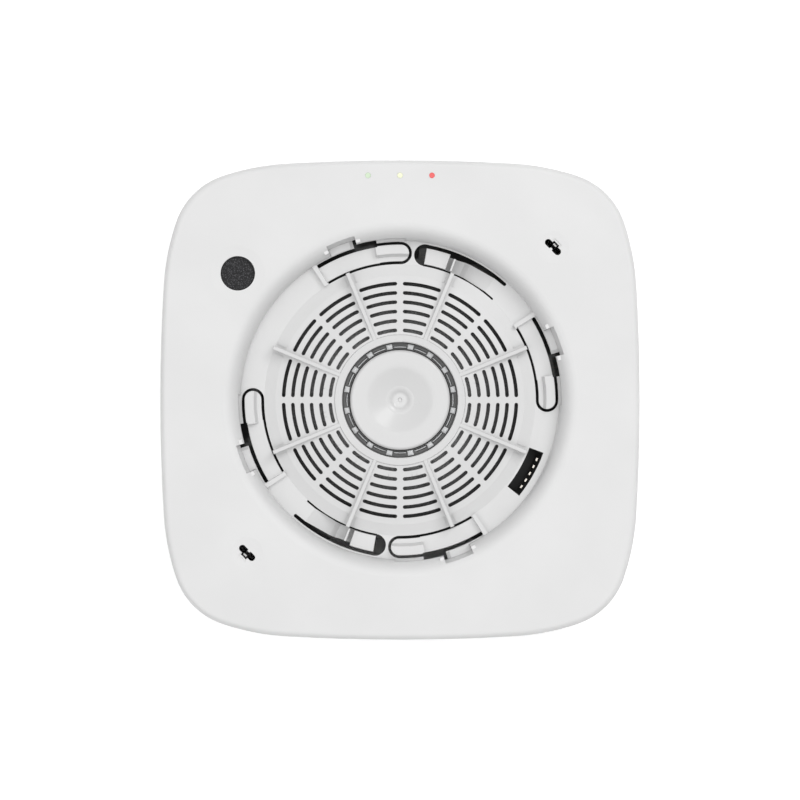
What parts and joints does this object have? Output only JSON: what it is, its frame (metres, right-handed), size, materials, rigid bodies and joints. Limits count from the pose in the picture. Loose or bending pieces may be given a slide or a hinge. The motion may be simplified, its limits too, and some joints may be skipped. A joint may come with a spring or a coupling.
{
  "type": "smoke detector",
  "caption": "Square-faced ceiling smoke detector with rounded corners, a vented dome and test button in a round twist-lock bay, and a twist-lock mounting plate.",
  "frame": {"origin": "centre of the mounting plate, on its back face that lies against the ceiling or wall", "axes": "+Z out of the front face, +Y towards the edge with the status lights, +X to the right when the face is seen with the lights at the top"},
  "size_m": [0.15, 0.15, 0.044],
  "materials": {
    "white_plastic": "satin moulded, fine grain",
    "white_gloss_plastic": "semi-gloss moulded",
    "grey_white_plastic": "satin moulded",
    "dark_mesh": "woven wire, matt black",
    "clear_plastic": "clear polycarbonate",
    "charcoal_plastic": "matt",
    "dark_foam": "open-cell foam",
    "spring_steel": "drawn wire",
    "zinc_steel": "zinc plated",
    "board_lacquer": "black solder-masked laminate",
    "amber_film": "polyimide film",
    "black_plastic": "matt, light-absorbing",
    "chip_black": "moulded epoxy",
    "tinted_epoxy": "dark tinted epoxy",
    "nickel": "nickel plated",
    "cell_wrap": "shrink-wrapped",
    "brass_disc": "rolled",
    "led_body": "moulded",
    "green_lens": "tinted light pipe",
    "yellow_lens": "tinted light pipe",
    "red_lens": "tinted light pipe"
  },
  "bodies": {
    "mount": {"mounting_plate": "grey_white_plastic"},
    "detector": {"battery_1": "cell_wrap", "battery_2": "cell_wrap", "battery_contacts": "nickel", "battery_holder": "black_plastic", "bay_connector": "black_plastic", "bay_ring": "white_plastic", "bay_ring_screws": "zinc_steel", "button_board": "board_lacquer", "button_ribbon": "amber_film", "button_spring": "spring_steel", "chamber_base": "black_plastic", "chamber_cap": "black_plastic", "chamber_labyrinth": "black_plastic", "connector_pins": "nickel", "face_plate": "white_plastic", "insect_mesh": "dark_mesh", "ir_emitter": "tinted_epoxy", "led_board": "board_lacquer", "light_pipe_green": "green_lens", "light_pipe_red": "red_lens", "light_pipe_yellow": "yellow_lens", "light_ring": "clear_plastic", "main_pcb": "board_lacquer", "pcb_components": "chip_black", "pcb_screws": "zinc_steel", "photodiode": "tinted_epoxy", "port_mesh": "dark_foam", "rear_housing": "white_plastic", "ring_shade": "charcoal_plastic", "sounder_case": "black_plastic", "sounder_disc": "brass_disc", "status_led_green": "led_body", "status_led_red": "led_body", "status_led_yellow": "led_body", "switch_body": "charcoal_plastic", "vent_dome": "white_plastic"},
    "latch_arm_1": {"latch_arm_1": "white_plastic"},
    "latch_arm_2": {"latch_arm_2": "white_plastic"},
    "latch_arm_3": {"latch_arm_3": "white_plastic"},
    "latch_arm_4": {"latch_arm_4": "white_plastic"},
    "pawl_arm_1": {"pawl_arm_1": "white_plastic"},
    "pawl_arm_2": {"pawl_arm_2": "white_plastic"},
    "release_hook_1": {"release_hook_1": "grey_white_plastic"},
    "release_hook_2": {"release_hook_2": "grey_white_plastic"},
    "button": {"test_button": "white_gloss_plastic"},
    "plunger": {"switch_plunger": "charcoal_plastic"}
  },
  "joints": [
    {"name": "device_twist", "type": "hinge", "parent": "mount", "child": "detector", "pos_m": [0, 0, 0.004], "axis": [0, 0, 1], "range_deg": [0, 20]},
    {"name": "latch_flex_1", "type": "hinge", "parent": "detector", "child": "latch_arm_1", "pos_m": [-0.02424, 0.03909, 0.036], "axis": [-0.527, 0.8499, 0], "range_deg": [0, 4.5], "stiffness_Nm_per_rad": 0.3},
    {"name": "latch_flex_2", "type": "hinge", "parent": "detector", "child": "latch_arm_2", "pos_m": [0.03909, 0.02424, 0.036], "axis": [0.8499, 0.527, 0], "range_deg": [0, 4.5], "stiffness_Nm_per_rad": 0.3},
    {"name": "latch_flex_3", "type": "hinge", "parent": "detector", "child": "latch_arm_3", "pos_m": [0.02424, -0.03909, 0.036], "axis": [0.527, -0.8499, 0], "range_deg": [0, 4.5], "stiffness_Nm_per_rad": 0.3},
    {"name": "latch_flex_4", "type": "hinge", "parent": "detector", "child": "latch_arm_4", "pos_m": [-0.03909, -0.02424, 0.036], "axis": [-0.8499, -0.527, 0], "range_deg": [0, 4.5], "stiffness_Nm_per_rad": 0.3},
    {"name": "pawl_flex_1", "type": "hinge", "parent": "detector", "child": "pawl_arm_1", "pos_m": [0.03082, 0.03375, 0.036], "axis": [-0.6743, -0.7385, 0], "range_deg": [0, 4.5], "stiffness_Nm_per_rad": 0.3},
    {"name": "pawl_flex_2", "type": "hinge", "parent": "detector", "child": "pawl_arm_2", "pos_m": [-0.03082, -0.03375, 0.036], "axis": [0.6743, 0.7385, 0], "range_deg": [0, 4.5], "stiffness_Nm_per_rad": 0.3},
    {"name": "hook_flex_1", "type": "hinge", "parent": "detector", "child": "release_hook_1", "pos_m": [0.04946, 0.04946, 0.0034], "axis": [0.7071, -0.7071, 0], "range_deg": [0, 2.4], "stiffness_Nm_per_rad": 0.3},
    {"name": "hook_flex_2", "type": "hinge", "parent": "detector", "child": "release_hook_2", "pos_m": [-0.04946, -0.04946, 0.0034], "axis": [-0.7071, 0.7071, 0], "range_deg": [0, 2.4], "stiffness_Nm_per_rad": 0.3},
    {"name": "test_press", "type": "slide", "parent": "detector", "child": "button", "axis": [0, 0, -1], "range_m": [0, 0.0008], "stiffness_N_per_m": 1000, "springref_m": -0.0004, "deforming": ["button_spring"]},
    {"name": "switch_press", "type": "slide", "parent": "detector", "child": "plunger", "axis": [0, 0, -1], "range_m": [0, 0.0008]}
  ],
  "couplings": [
    {"joint": "switch_press", "follows": "test_press", "ratio": 1}
  ]
}
